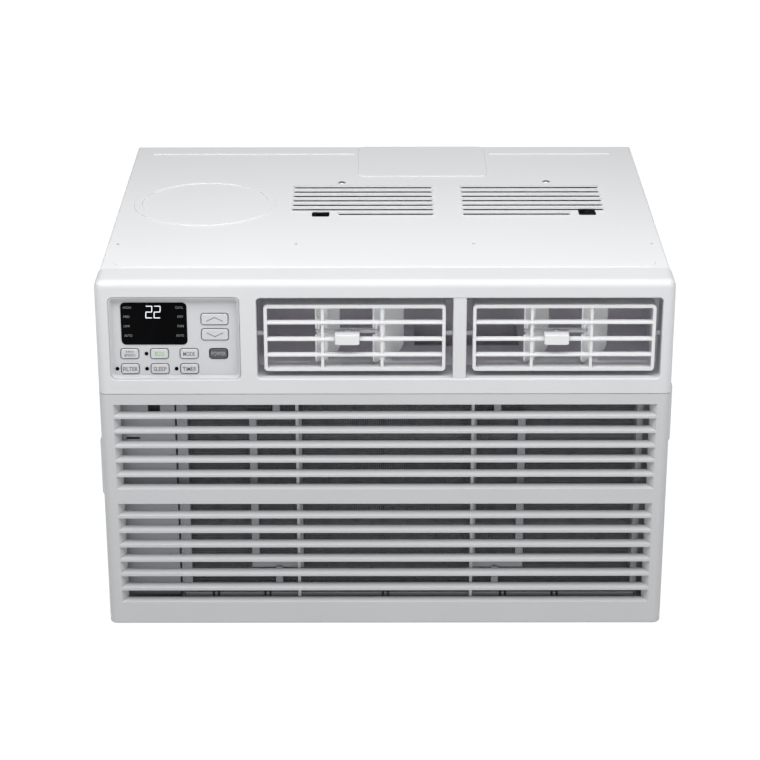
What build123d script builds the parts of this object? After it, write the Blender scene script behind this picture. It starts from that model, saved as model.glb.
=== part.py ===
from build123d import *
import os
from math import cos, radians, sin

# Window air conditioner, millimetres.
# While it is drawn, x runs to the right seen from the room, y is the depth behind the front face
# and z is the height above the sill. write() moves every piece back by half the depth, so the
# row's origin is the middle of the box's underside.

# ---- driving dimensions ----
WIDTH = 560.0
HEIGHT = 372.0
DEPTH = 447.0
HALF = WIDTH / 2

# moulded front
PANEL_DEPTH = 37.0
PANEL_FOOT = 1.0
WALL = 2.5
EDGE_R = 7.5
TOP_R = 7.0
BOTTOM_R = 3.0
SEAM_Z = 255.0
SEAM_GAP = 0.6

# air outlet in the upper panel
OUTLET_X = (-124.2, 268.0)
OUTLET_Z = (271.0, 354.5)
OUTLET_R = 4.0
OUTLET_WALL = 2.2
POST_X = (65.9, 78.9)
LIP_R = 1.5

# louver cartridges
CARTRIDGE_X = {"left": (-117.6, 58.9), "right": (85.1, 262.4)}
CARTRIDGE_Z = (276.9, 345.8)
CARTRIDGE_Y = (5.0, 24.0)
CARTRIDGE_WALL = 3.3
SLAT_Z = (293.4, 309.7, 327.0)
SLAT_BACK = 10.6
UPRIGHT_SPACING = 57.8
UPRIGHT_SHIFT = -2.4
TILT_Y = 18.5
TILT_Z = 312.0
TILT_PIN_R = 2.5
VANE_SPACING = 56.0
VANE_PIVOT_Y = 28.0
VANE_PIN_R = 2.0
VANE_AHEAD = 16.4
VANE_BEHIND = {"left_a": 20.0, "left_b": 32.0, "right_a": 25.0, "right_b": 29.0}
VANE_HALF_THICK = 0.9
VANE_BOW = 2.0
VANE_TURN = -37.0
LINK_ARM = 12.0
LINK_PIN_R = 1.5
LINK_Z = (313.0, 316.0)
LINK_WIDTH = 5.0
TAB_WIDTH = 23.8
TAB_Y = (1.0, 4.3)
TAB_Z = (305.6, 316.0)
RUNNING = 0.06

# control panel
RECESS_X = (-266.9, -140.6)
RECESS_Z = (270.5, 355.2)
RECESS_R = 5.0
RECESS_DEPTH = 6.0
DISPLAY_X = (-255.6, -191.6)
DISPLAY_Z = (304.8, 348.4)
KEY = (16.8, 9.5)
ARROW_KEY = (25.4, 10.8)
KEY_R = 2.2
KEY_GAP = 1.0
KEY_FLANGE = 1.8
KEY_COLUMNS = (-248.2, -219.3, -190.5, -161.8)
KEY_ROWS = (295.4, 279.6)
ARROW_COLUMN = -164.8
KEYS = {
    "button_up": (ARROW_COLUMN, 331.3),
    "button_down": (ARROW_COLUMN, 315.4),
    "button_fan_speed": (KEY_COLUMNS[0], KEY_ROWS[0]),
    "button_eco": (KEY_COLUMNS[1], KEY_ROWS[0]),
    "button_mode": (KEY_COLUMNS[2], KEY_ROWS[0]),
    "button_power": (KEY_COLUMNS[3], KEY_ROWS[0]),
    "button_filter": (KEY_COLUMNS[0], KEY_ROWS[1]),
    "button_sleep": (KEY_COLUMNS[1], KEY_ROWS[1]),
    "button_timer": (KEY_COLUMNS[2], KEY_ROWS[1]),
}
LAMP_AHEAD = 12.7
LAMPS = (
    (KEY_COLUMNS[1] - LAMP_AHEAD, KEY_ROWS[0]),
    (KEY_COLUMNS[0] - LAMP_AHEAD, KEY_ROWS[1]),
    (KEY_COLUMNS[1] - LAMP_AHEAD, KEY_ROWS[1]),
    (KEY_COLUMNS[2] - LAMP_AHEAD, KEY_ROWS[1]),
)
LAMP_R = 1.9

# intake grille
SLOT_X = 266.5
SLOT_X_BACK = 260.0
SLAT_DEPTH = 8.0
SLOT_RISE = 12.2
UPPER_TOP = 243.7
UPPER_PITCH = 15.75
UPPER_SLOTS = 6
LOWER_TOP = 135.6
LOWER_PITCH = 16.15
LOWER_SLOTS = 7
GRILLE_RIB_X = 86.7
HINGE_Y = 7.0
HINGE_Z = 8.0
HINGE_PIN_R = 3.0
GRIP_Z = (195.0, 253.0)

# filter
FILTER_X = (-204.0, 253.4)
FILTER_Z = (22.0, 249.0)
FILTER_Y = (20.0, 26.0)
FILTER_BORDER = (8.0, 4.0)
FILTER_SILL = 8.0
HANDLE_RUNG_Z = (60.0, 223.0)
HANDLE_OUTER_X = (-131.0, 135.6)
HANDLE_INNER_X = (-84.0, 89.6)
HANDLE_TAB_X = (-107.5, 111.4)
SILL_NOTCH_X = (-171.7, -119.3, 0.4, 119.6, 172.2)

# cabinet
SHEET = 1.0
CABINET_HALF = 278.5
CABINET_TOP = 370.0
CABINET_Y = (PANEL_DEPTH + 0.5, DEPTH)
CABINET_FOOT = 2.4
BEND_R = 2.5
EMBOSS = 0.8
LOUVER_PITCH = 14.9
LOUVER_LENGTH = 150.0
LOUVER_RISE = 2.0
LOUVER_DEPTH = 9.0
TOP_LOUVER_X = (-23.0, 155.3)
TOP_LOUVER_Y = 207.0
RAIL_HOLE_X = (-267.7, -89.1, 89.1, 267.7)
RAIL_HOLE_Y = 115.0
SIDE_HOLE_Z = (90.0, 290.0)
PILOT_R = 1.6
TOP_SCREWS = ((-46.0, 316.0), (175.0, 319.0))
REAR_SCREW_X = (-262.0, 262.0)
REAR_SCREW_Z = (40.0, 190.0, 340.0)

# base pan
PAN_Y = (41.0, 443.5)
PAN_HALF = 276.8
PAN_FLOOR = (2.0, 3.2)
PAN_RIM_Z = 22.0
SKID_X = 180.0
SILL_HOLE_Y = 150.0
SILL_HOLE_R = 2.5

# fans
AXIS_X = 24.0
AXIS_Z = 146.0
SHAFT_R = 6.35
SCROLL_Y = (95.0, 165.0)
SCROLL_R = 112.0
WHEEL_R = 88.0
FAN_R = 130.0
PARTITION_Y = (175.0, 176.2)
SHROUD_Y = 372.0

# refrigeration
COMPRESSOR_AT = (-189.0, 246.5)
COMPRESSOR_R = 58.0
ACCUMULATOR_AT = (-104.0, 215.0)
ACCUMULATOR_R = 24.0
TUBE_R = 4.75
SUCTION_X = -227.0
COIL_PITCH = 25.0
EVAPORATOR_X = (-203.0, 252.0)
EVAPORATOR_Y = (50.0, 86.0)
EVAPORATOR_Z = (26.0, 246.0)
CONDENSER_X = (-238.0, 250.0)
CONDENSER_Y = (385.0, 425.0)
CONDENSER_Z = (14.0, 352.0)
COILS = {
    "evaporator": (EVAPORATOR_X, EVAPORATOR_Y, EVAPORATOR_Z),
    "condenser": (CONDENSER_X, CONDENSER_Y, CONDENSER_Z),
}


# ---- helpers ----
def block(x, y, z):
    """Box from three (low, high) ranges."""
    middle = Pos((x[0] + x[1]) / 2, (y[0] + y[1]) / 2, (z[0] + z[1]) / 2)
    return middle * Box(x[1] - x[0], y[1] - y[0], z[1] - z[0])


def rod(axis, centre, span, radius):
    """Cylinder along an axis; centre gives the two other coordinates in x, y, z order."""
    middle = (span[0] + span[1]) / 2
    places = {
        "x": Pos(middle, centre[0], centre[-1]) * Rot(0, 90, 0),
        "y": Pos(centre[0], middle, centre[-1]) * Rot(90, 0, 0),
        "z": Pos(centre[0], centre[-1], middle),
    }
    return places[axis] * Cylinder(radius, span[1] - span[0])


def slab(x, y, z, r):
    """Plate facing the front with corners rounded to r in the front view."""
    face = Pos((x[0] + x[1]) / 2, (z[0] + z[1]) / 2) * RectangleRounded(x[1] - x[0], z[1] - z[0], r)
    return extrude(Plane.XZ.offset(-y[1]) * face, amount=y[1] - y[0])


def plate(x, y, z, r):
    """Plate lying flat with corners rounded to r in the plan view."""
    face = Pos((x[0] + x[1]) / 2, (y[0] + y[1]) / 2) * RectangleRounded(x[1] - x[0], y[1] - y[0], r)
    return extrude(Plane.XY.offset(z[0]) * face, amount=z[1] - z[0])


def along_x(points, x, r=0.0):
    """Prism along x from (y, z) points, its corners rounded to r."""
    face = Polygon(*points, align=None)
    if r:
        face = fillet(face.vertices(), r)
    return extrude(Plane.YZ.offset(x[0]) * face, amount=x[1] - x[0], dir=(1, 0, 0))


def along_z(points, z):
    """Prism along z from (x, y) points."""
    return extrude(Plane.XY.offset(z[0]) * Polygon(*points, align=None), amount=z[1] - z[0])


def grow(span, by):
    return (span[0] - by, span[1] + by)


def around(centre, size):
    return (centre - size / 2, centre + size / 2)


def bent_tube(points, bend, radius):
    """Tube along straight runs joined by arcs."""
    path = FilletPolyline(*points, radius=bend)
    section = Plane(origin=path @ 0, z_dir=path % 0) * Circle(radius)
    return sweep(section, path=path)


def write(name, shape):
    export_step(Pos(0, -DEPTH / 2, 0) * shape, f"parts/{name}.step")


# ---- moulded front ----
def moulded_body(z, inset, depth, top_r=0.0, bottom_r=0.0):
    """Solid body of the moulded front, drawn in by inset, with its room-side edges rounded."""
    body = block((-HALF + inset, HALF - inset), (inset, depth), z)
    corners = body.edges().filter_by(Axis.Z).group_by(Axis.Y)[0]
    body = fillet(corners, EDGE_R - inset)
    for radius, face_index in ((top_r, -1), (bottom_r, 0)):
        if radius:
            rim = body.faces().sort_by(Axis.Z)[face_index].edges()
            rim = rim.filter_by(lambda edge: edge.center().Y < depth - 0.01)
            body = fillet(rim, radius)
    return body


def outlet_post():
    """Upright between the two outlets, a channel open at the back."""
    z = grow(OUTLET_Z, 0.8)
    post = block(POST_X, (0.6, PANEL_DEPTH - 1), z)
    nose = post.edges().filter_by(Axis.Z).group_by(Axis.Y)[0]
    post = fillet(nose, LIP_R)
    inner = grow(POST_X, -2.0)
    return post - block(inner, (2.8, PANEL_DEPTH), grow(z, 1))


def front_panel():
    foot = SEAM_Z + SEAM_GAP / 2
    outer = moulded_body((foot, HEIGHT), 0, PANEL_DEPTH, top_r=TOP_R)
    inner = moulded_body((foot + 2.2, HEIGHT - WALL), WALL, PANEL_DEPTH + 1, top_r=TOP_R - WALL)
    outlet = slab(OUTLET_X, (-1, PANEL_DEPTH + 1), OUTLET_Z, OUTLET_R)
    sleeve = slab(
        grow(OUTLET_X, OUTLET_WALL),
        (1.0, PANEL_DEPTH - 1),
        grow(OUTLET_Z, OUTLET_WALL),
        OUTLET_R + OUTLET_WALL,
    )
    recess = slab(RECESS_X, (-1, WALL + 1), RECESS_Z, RECESS_R)
    panel = (outer - inner) + sleeve - outlet - recess
    face = panel.faces().sort_by(Axis.Y)[0]
    lips = [edge for wire in face.inner_wires() for edge in wire.edges()]
    panel = fillet(lips, LIP_R)
    panel = panel + outlet_post()
    for x in ((-128, -123), (65, 80), (267, 271)):
        panel = panel - rod("x", (TILT_Y, TILT_Z), x, TILT_PIN_R + RUNNING)
    return panel


def slot_tops():
    upper = [UPPER_TOP - UPPER_PITCH * i for i in range(UPPER_SLOTS)]
    lower = [LOWER_TOP - LOWER_PITCH * i for i in range(LOWER_SLOTS)]
    return upper, lower


def grille_member(z_low, z_face):
    """One slat or band: upright face from z_low to z_face, its top rising towards the back."""
    rise = 2.6
    section = (
        (0.0, z_low),
        (0.0, z_face),
        (SLAT_DEPTH, z_face + rise),
        (SLAT_DEPTH, z_low + rise),
    )
    return along_x(section, (-SLOT_X - 2, SLOT_X + 2), 0.9)


def side_grip(side):
    """Finger grip that stands out of the grille's side wall near its top."""
    points = (
        (side * (HALF - 1), 17.0),
        (side * HALF, 17.0),
        (side * (HALF + 4), 27.0),
        (side * (HALF + 4), 36.0),
        (side * (HALF - 1), 36.5),
    )
    grip = along_z(points, GRIP_Z)
    outer = grip.edges().filter_by(lambda edge: abs(edge.center().X) > HALF + 3.9)
    return fillet(outer, 1.2)


def intake_grille():
    """Tilting lower front with its slats, side grips, filter channels and hinge bosses."""
    top = SEAM_Z - SEAM_GAP / 2
    depth = PANEL_DEPTH - 0.5
    outer = moulded_body((PANEL_FOOT, top), 0, depth, bottom_r=BOTTOM_R)
    inner = moulded_body((PANEL_FOOT + WALL, top - WALL), WALL, depth + 1, bottom_r=0.5)
    shell = outer - inner
    upper, lower = slot_tops()
    foot = lower[-1] - SLOT_RISE
    shell = shell + block((-SLOT_X - 3, SLOT_X + 3), (0.5, SLAT_DEPTH), (foot - 5, UPPER_TOP + 4))
    taper = (
        (-SLOT_X - 0.8, -1.0),
        (SLOT_X + 0.8, -1.0),
        (SLOT_X_BACK, SLAT_DEPTH + 0.1),
        (-SLOT_X_BACK, SLAT_DEPTH + 0.1),
    )
    shell = shell - along_z(taper, (foot - 3, UPPER_TOP))
    members = [grille_member(z, z + UPPER_PITCH - SLOT_RISE) for z in upper[1:]]
    members += [grille_member(z, z + LOWER_PITCH - SLOT_RISE) for z in lower[1:]]
    members.append(grille_member(lower[0], upper[-1] - SLOT_RISE))
    members.append(grille_member(foot - 5, foot))
    shell = shell + members
    for x in (-GRILLE_RIB_X, GRILLE_RIB_X):
        shell = shell + block(around(x, 3), (SLAT_DEPTH - 0.5, 12), (foot - 4, UPPER_TOP + 3))
    # the wall at the top is short and the cheeks fall away, so the top clears the panel as it tilts
    shell = shell - block((-HALF + WALL, HALF - WALL), (12, 50), (top - WALL - 1, top + 1))
    shell = shell - along_x(((12, top + 0.01), (40, top - 2.6), (40, top + 1)), (-HALF - 1, HALF + 1))
    for side in (-1, 1):
        shell = shell + side_grip(side)
        boss_x = sorted((side * 271.5, side * (HALF - 1)))
        shell = shell + rod("x", (HINGE_Y, HINGE_Z), boss_x, 5.2)
        hole_x = sorted((side * 271, side * 278.4))
        shell = shell - rod("x", (HINGE_Y, HINGE_Z), hole_x, HINGE_PIN_R + RUNNING)
        notch_x = sorted((side * 261.5, side * 271))
        shell = shell - block(notch_x, (WALL + 0.2, depth + 1), (0, 18))
    return shell + filter_channel(FILTER_X[0], -1) + filter_channel(FILTER_X[1], 1)


def filter_channel(edge, side):
    """Upright that holds one edge of the filter, bridged to the grille behind its plain bands."""
    web = sorted((edge + side * 0.3, edge + side * 2.3))
    lip = sorted((edge + side * 2.3, edge - side * 3))
    z = grow(FILTER_Z, -2)
    back = FILTER_Y[1] + 1.8
    channel = block(web, (FILTER_Y[0] + 2, back), z) + block(lip, (back - 1.5, back), z)
    for band in ((z[0], z[0] + 2.4), (LOWER_TOP + 3, LOWER_TOP + 13), (UPPER_TOP + 0.6, z[1])):
        channel = channel + block(web, (SLAT_DEPTH - 0.5, FILTER_Y[0] + 3), band)
    return channel


def filter_window():
    return (FILTER_X[0] + FILTER_BORDER[0], FILTER_X[1] - FILTER_BORDER[1])


def filter_frame():
    """Frame with two ladder-shaped handles; the mesh lies in its openings."""
    y = FILTER_Y
    back = y[1] - 1.5
    frame = block(FILTER_X, y, FILTER_Z)
    frame = frame - block(filter_window(), grow(y, 1), grow(FILTER_Z, -FILTER_SILL))
    handles = zip(HANDLE_OUTER_X, HANDLE_INNER_X, HANDLE_TAB_X)
    for outer, inner, tab in handles:
        for x, width in ((outer, 7.5), (inner, 3.0)):
            frame = frame + block(around(x, width), (y[0], back), grow(HANDLE_RUNG_Z, 4))
        for z in HANDLE_RUNG_Z:
            frame = frame + block(sorted((outer, inner)), (y[0], back), around(z, 8))
        low, high = HANDLE_RUNG_Z
        frame = frame + slab(around(tab, 7.0), (y[0] - 2, back), (high + 3, FILTER_Z[1] - 6), 2)
        frame = frame + slab(around(tab, 7.0), (y[0] - 2, back), (FILTER_Z[0] + 6, low - 3), 2)
    sill_z = (FILTER_Z[0], FILTER_Z[0] + FILTER_SILL + 1)
    frame = frame + block(grow(FILTER_X, -1), (SLAT_DEPTH + 4.4, y[0] + 1), sill_z)
    for x in SILL_NOTCH_X:
        for offset in (-2.6, 2.6):
            notch_y = (SLAT_DEPTH, y[1] - 1)
            frame = frame - block(around(x + offset, 2.2), notch_y, grow(sill_z, 1))
    return frame


def filter_mesh():
    """Thin screen behind the frame's bars, inside its border."""
    y = (FILTER_Y[1] - 1.5, FILTER_Y[1] - 0.9)
    return block(filter_window(), y, grow(FILTER_Z, -FILTER_SILL))


def front_frame():
    """Fixed frame behind the grille: coil window, plain wall on the control side, hinge arms."""
    y = (PANEL_DEPTH + 1.5, PANEL_DEPTH + 4.0)
    frame = block((-275.5, 275.5), y, (4.0, 258.0))
    frame = frame - slab((-200, 252), grow(y, 1), (24, 248), 3)
    wall_x = (-262.0, -208.5)
    wall = block(wall_x, (22, y[0]), (24, 250))
    wall = wall - block(grow(wall_x, -2), (24, y[1] + 1), (26, 248))
    wall = wall - block((-234.6, -222.6), (20, 26), (226.6, 236.6))
    wall = wall - block((-257.5, -244.0), (20, 26), (197.2, 199.6))
    frame = frame + wall
    for side in (-1, 1):
        arm_x = sorted((side * 263.0, side * 269.7))
        arm = block(arm_x, (HINGE_Y, y[0]), around(HINGE_Z, 8.2))
        arm = arm + rod("x", (HINGE_Y, HINGE_Z), arm_x, 4.1)
        arm = arm - rod("x", (HINGE_Y, HINGE_Z), grow(arm_x, 1), HINGE_PIN_R)
        frame = frame + arm
    return frame


def grille_hinge_pins():
    pins = []
    for side in (-1, 1):
        span = sorted((side * 263.5, side * 277.6))
        pins.append(rod("x", (HINGE_Y, HINGE_Z), span, HINGE_PIN_R))
    return Compound(pins)


# ---- louver cartridges ----
def louver_slat(z, x):
    section = ((5.0, z - 1.4), (5.0, z + 1.4), (SLAT_BACK, z + 1.9), (SLAT_BACK, z - 0.1))
    return along_x(section, x, 0.7)


def louver_frame(x):
    """Tilting frame: rim, three slats, two uprights, vane bearings and side pins."""
    centre = sum(x) / 2
    rim = slab(x, CARTRIDGE_Y, CARTRIDGE_Z, 4.0)
    nose = rim.faces().sort_by(Axis.Y)[0].edges()
    rim = fillet(nose, 0.8)
    inner_x = grow(x, -CARTRIDGE_WALL)
    inner_z = grow(CARTRIDGE_Z, -CARTRIDGE_WALL)
    rim = rim - slab(inner_x, grow(CARTRIDGE_Y, 1), inner_z, 1.5)
    bearing_x = around(centre, VANE_SPACING + 16)
    for z in ((CARTRIDGE_Z[0], inner_z[0]), (inner_z[1], CARTRIDGE_Z[1])):
        rim = rim + plate(bearing_x, (CARTRIDGE_Y[1] - 8, 33.0), z, 3.0)
    slats = [louver_slat(z, grow(inner_x, 1)) for z in SLAT_Z]
    uprights = [
        block(around(centre + UPRIGHT_SHIFT + offset, 2.8), (6.2, SLAT_BACK - 0.3), grow(inner_z, 1))
        for offset in (-UPRIGHT_SPACING / 2, UPRIGHT_SPACING / 2)
    ]
    rim = rim + slats + uprights
    for offset in (-VANE_SPACING / 2, VANE_SPACING / 2):
        hole = rod("z", (centre + offset, VANE_PIVOT_Y), grow(CARTRIDGE_Z, 1), VANE_PIN_R + RUNNING)
        rim = rim - hole
    pins = [
        rod("x", (TILT_Y, TILT_Z), (x[0] - 9.2, x[0] + 1), TILT_PIN_R),
        rod("x", (TILT_Y, TILT_Z), (x[1] - 1, x[1] + 9.2), TILT_PIN_R),
    ]
    return rim + pins


def vane(pivot_x, behind):
    """Upright curved vane on two end pins, with a slot and a pin for the link near its front."""
    inner_z = grow(CARTRIDGE_Z, -CARTRIDGE_WALL)
    z = grow(inner_z, -0.7)
    half = VANE_HALF_THICK
    middle = (behind - VANE_AHEAD) / 2
    outline = Polyline((half, behind), (-half, behind))
    left_middle = (-half - VANE_BOW, middle)
    outline += ThreePointArc((-half, behind), left_middle, (-half, -VANE_AHEAD))
    outline += Polyline((-half, -VANE_AHEAD), (half, -VANE_AHEAD))
    right_middle = (half - VANE_BOW, middle)
    outline += ThreePointArc((half, -VANE_AHEAD), right_middle, (half, behind))
    blade = extrude(Plane.XY.offset(z[0]) * make_face(outline), amount=z[1] - z[0])
    for y, radius in ((behind, 9.0), (-VANE_AHEAD, 5.0)):
        short = blade.edges().filter_by(Axis.X).filter_by_position(Axis.Y, y - 0.1, y + 0.1)
        blade = fillet(short, radius)
    blade = blade + rod("z", (-1.2, 0), z, 2.9)
    slot = (-VANE_AHEAD - 1, 6.8 - LINK_ARM)
    blade = blade - block((-5, 5), slot, grow(LINK_Z, 1.7))
    blade = blade + rod("z", (0, -LINK_ARM), grow(LINK_Z, 4), LINK_PIN_R)
    blade = blade + rod("z", (0, 0), grow(inner_z, 2.8), VANE_PIN_R)
    return Pos(pivot_x, VANE_PIVOT_Y, 0) * Rot(0, 0, VANE_TURN) * blade


def vane_link(centre):
    """Bar that joins the two vanes, with the finger tab in front of the middle slat."""
    x = centre + LINK_ARM * sin(radians(VANE_TURN))
    y = VANE_PIVOT_Y - LINK_ARM * cos(radians(VANE_TURN))
    bar = plate(around(x, VANE_SPACING + 6), around(y, LINK_WIDTH), LINK_Z, LINK_WIDTH / 2 - 0.1)
    bar = bar + plate(around(x, TAB_WIDTH), (TAB_Y[0] + 1, y + 2.2), LINK_Z, 0.8)
    tab = slab(around(x, TAB_WIDTH), TAB_Y, TAB_Z, 1.6)
    sag = rod("y", (x, TAB_Z[0] + 39), TAB_Y, 40)
    tab = (tab & (sag + block(around(x, 30), TAB_Y, (TAB_Z[0] + 3, TAB_Z[1])))).solid()
    tab = fillet(tab.faces().sort_by(Axis.Y)[0].edges(), 0.9)
    boss = rod("z", (x, 14.5), (LINK_Z[1] - 1, LINK_Z[1] + 0.9), 3.2)
    boss = boss - rod("z", (x, 14.5), (LINK_Z[1] + 0.3, LINK_Z[1] + 2), 1.9)
    bar = bar + tab + boss
    for offset in (-VANE_SPACING / 2, VANE_SPACING / 2):
        bar = bar - rod("z", (x + offset, y), grow(LINK_Z, 1), LINK_PIN_R + RUNNING)
    return bar


# ---- control panel ----
def key_size(name):
    return ARROW_KEY if name in ("button_up", "button_down") else KEY


def control_fascia():
    """Tray that fills the recess: flared walls down to a flat floor with all the key holes."""
    back = RECESS_DEPTH + 2.2
    tray = slab(grow(RECESS_X, -0.25), (0.7, back), grow(RECESS_Z, -0.25), RECESS_R - 0.25)
    tray = tray + slab(grow(RECESS_X, 2.5), (WALL + 0.1, back), grow(RECESS_Z, 2.5), RECESS_R + 2.5)
    mouth_x = grow(RECESS_X, -0.9)
    mouth_z = grow(RECESS_Z, -0.9)
    size = (mouth_x[1] - mouth_x[0], mouth_z[1] - mouth_z[0])
    mouth = Pos(sum(mouth_x) / 2, sum(mouth_z) / 2) * RectangleRounded(*size, RECESS_R)
    pocket = extrude(Plane.XZ.offset(-0.7) * mouth, amount=-(RECESS_DEPTH - 0.7), taper=32)
    pocket = fillet(pocket.faces().sort_by(Axis.Y)[-1].edges(), 2.0)
    ledge_z = (mouth_z[0] + 0.6, mouth_z[1] - 4)
    ledge = slab(grow(mouth_x, -2.6), (0.5, RECESS_DEPTH), ledge_z, 3.0)
    pocket = pocket + fillet(ledge.faces().sort_by(Axis.Y)[-1].edges(), 0.8)
    tray = tray - pocket - slab(mouth_x, (-1, 0.7), mouth_z, RECESS_R)
    for name, (x, z) in KEYS.items():
        width, height = key_size(name)
        hole = (around(x, width + 2 * KEY_GAP), (0, back + 1), around(z, height + 2 * KEY_GAP))
        tray = tray - slab(*hole, KEY_R + KEY_GAP)
    tray = tray - slab(grow(DISPLAY_X, 0.1), (0, back + 1), grow(DISPLAY_Z, 0.1), 4.6)
    for x, z in LAMPS:
        tray = tray - rod("y", (x, z), (0, back + 1), LAMP_R)
    return tray


def button(name):
    """Key cap with a retaining flange and a plunger behind it."""
    x, z = KEYS[name]
    width, height = key_size(name)
    cap = slab(around(x, width), (4.9, 9.4), around(z, height), KEY_R)
    cap = fillet(cap.faces().sort_by(Axis.Y)[0].edges(), 0.7)
    flange_x = grow(around(x, width), KEY_FLANGE)
    flange_z = grow(around(z, height), KEY_FLANGE)
    cap = cap + slab(flange_x, (RECESS_DEPTH + 2.6, 9.6), flange_z, KEY_R + KEY_FLANGE)
    return cap + rod("y", (x, z), (9.0, 10.2), 1.6)


def display_window():
    window = slab(DISPLAY_X, (5.4, RECESS_DEPTH + 2.2), DISPLAY_Z, 4.5)
    return fillet(window.faces().sort_by(Axis.Y)[0].edges(), 0.5)


def indicator_lenses():
    lenses = [rod("y", (x, z), (5.6, 14.5), LAMP_R - 0.02) for x, z in LAMPS]
    return Compound(lenses)


def control_pcb():
    """Circuit board with the display's light box and one tactile switch behind each key."""
    board = block((-263, -144), (14.5, 16.1), (272, 353))
    board = board + block(grow(DISPLAY_X, -1), (RECESS_DEPTH + 2.4, 15), grow(DISPLAY_Z, -1))
    for x, z in KEYS.values():
        board = board + block(around(x, 6), (12.0, 15.0), around(z, 6))
        board = board + rod("y", (x, z), (11.2, 12.5), 1.7)
    return board


# ---- cabinet ----
def louver_solid(length, inset):
    """Lanced louver on a sheet whose top is z = 0; its opening faces -y, its ends slope down."""
    rise = LOUVER_RISE - inset
    back = LOUVER_DEPTH - 1.6 * inset
    front = -0.01 if inset == 0 else -1.0
    profile = Polyline((back, -1.5), (front, -1.5), (front, rise))
    if inset:
        profile += Polyline((front, rise), (0, rise))
    profile += ThreePointArc((0 if inset else front, rise), (back * 0.55, rise * 0.62), (back, 0))
    profile += Polyline((back, 0), (back, -1.5))
    body = extrude(Plane.YZ.offset(-length / 2) * make_face(profile), amount=length)
    half = length / 2 - inset * 1.4
    slope = ((-half, -2), (half, -2), (half, 0), (half - 5, 4), (5 - half, 4), (-half, 0))
    ends = extrude(Plane.XZ.offset(-12) * Polygon(*slope, align=None), amount=24)
    return body & ends


def louver_places():
    """Where each louver goes, with its length."""
    places = []
    for group, centre in enumerate(TOP_LOUVER_X):
        for row in range(7):
            short = row == 0
            length = (LOUVER_LENGTH, 101.5, 114.0)[(1 + group) * short]
            shift = (0.0, 24.3, -18.3)[(1 + group) * short]
            y = TOP_LOUVER_Y + row * LOUVER_PITCH
            places.append((Pos(centre + shift, y, CABINET_TOP), length))
    for side in (-1, 1):
        for row in range(9):
            y = 250 + row * LOUVER_PITCH
            places.append((Pos(side * CABINET_HALF, y, 190) * Rot(0, side * 90, 0), 130.0))
    return places


def cabinet_beads():
    """Shallow raised stiffening panels of the top sheet."""
    z = (CABINET_TOP - 0.2, CABINET_TOP + EMBOSS)
    ring_at = Pos(COMPRESSOR_AT[0], COMPRESSOR_AT[1], sum(z) / 2)
    ring = ring_at * (Cylinder(75, z[1] - z[0]) - Cylinder(66, z[1] - z[0]))
    beads = [
        ring,
        plate((-266, 266), (46, 74), z, 13.9),
        plate((-29, 112.5), (337, 446.5), z, 8),
        plate((-260, -33), (419, 424), z, 2.4),
        plate((117, 254), (419, 424), z, 2.4),
    ]
    soft = []
    for bead in beads:
        rim = bead.faces().sort_by(Axis.Z)[-1].edges()
        soft.append(fillet(rim, EMBOSS * 0.85))
    return soft


def cabinet():
    """Wrap-round sheet: top and two sides, turned in at the front."""
    y = CABINET_Y
    outer = block((-CABINET_HALF, CABINET_HALF), y, (CABINET_FOOT, CABINET_TOP))
    outer = fillet(outer.edges().filter_by(Axis.Y).group_by(Axis.Z)[-1], BEND_R)
    half = CABINET_HALF - SHEET
    inner = block((-half, half), (y[0] + SHEET, y[1] + 1), (CABINET_FOOT - 1, CABINET_TOP - SHEET))
    inner = fillet(inner.edges().filter_by(Axis.Y).group_by(Axis.Z)[-1], BEND_R - SHEET)
    mouth = block((-271.5, 271.5), (y[0] - 1, y[0] + 2), (CABINET_FOOT - 1, 363.0))
    sheet = outer - inner - mouth
    sheet = sheet + cabinet_beads()
    sheet = sheet + [place * louver_solid(length, 0) for place, length in louver_places()]
    sheet = sheet - [place * louver_solid(length, SHEET) for place, length in louver_places()]
    through = (CABINET_TOP - 3, CABINET_TOP + 2)
    cuts = [rod("z", (x, RAIL_HOLE_Y), through, PILOT_R) for x in RAIL_HOLE_X]
    cuts += [rod("z", at, through, 4.4) for at in TOP_SCREWS]
    cuts.append(plate((-75.6, -57.4), (200.6, 217.6), through, 2.5))
    cuts.append(plate((202.0, 220.0), (205.0, 222.0), through, 2.5))
    for z in SIDE_HOLE_Z:
        cuts.append(rod("x", (RAIL_HOLE_Y, z), (-CABINET_HALF - 1, 1 - CABINET_HALF), PILOT_R))
        cuts.append(rod("x", (RAIL_HOLE_Y, z), (CABINET_HALF - 1, 1 + CABINET_HALF), PILOT_R))
    for x, y_hole, z in cabinet_screw_places():
        cuts.append(rod("x", (y_hole, z), sorted((x, x * 0.99)), 1.9))
    cuts.append(rod("x", (60, 60), (-CABINET_HALF - 1, 1 - CABINET_HALF), 8.0))
    return sheet - cuts


def cabinet_screw_places():
    return [(side * CABINET_HALF, y, 13.0) for side in (-1, 1) for y in (70.0, 240.0, 410.0)]


def cabinet_screws():
    """Hexagonal-headed screws through the cabinet's lower edges into the base pan's rim."""
    screws = []
    for x, y, z in cabinet_screw_places():
        side = 1 if x > 0 else -1
        shank = rod("x", (y, z), sorted((x, x - side * 6)), 1.85)
        washer = rod("x", (y, z), sorted((x, x + side * 0.5)), 4.6)
        hexagon = extrude(RegularPolygon(3.8, 6), amount=0.95, both=True)
        head = Pos(x + side * 1.2, y, z) * Rot(0, 90, 0) * hexagon
        screws.append(shank + washer + head)
    return Compound(screws)


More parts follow.
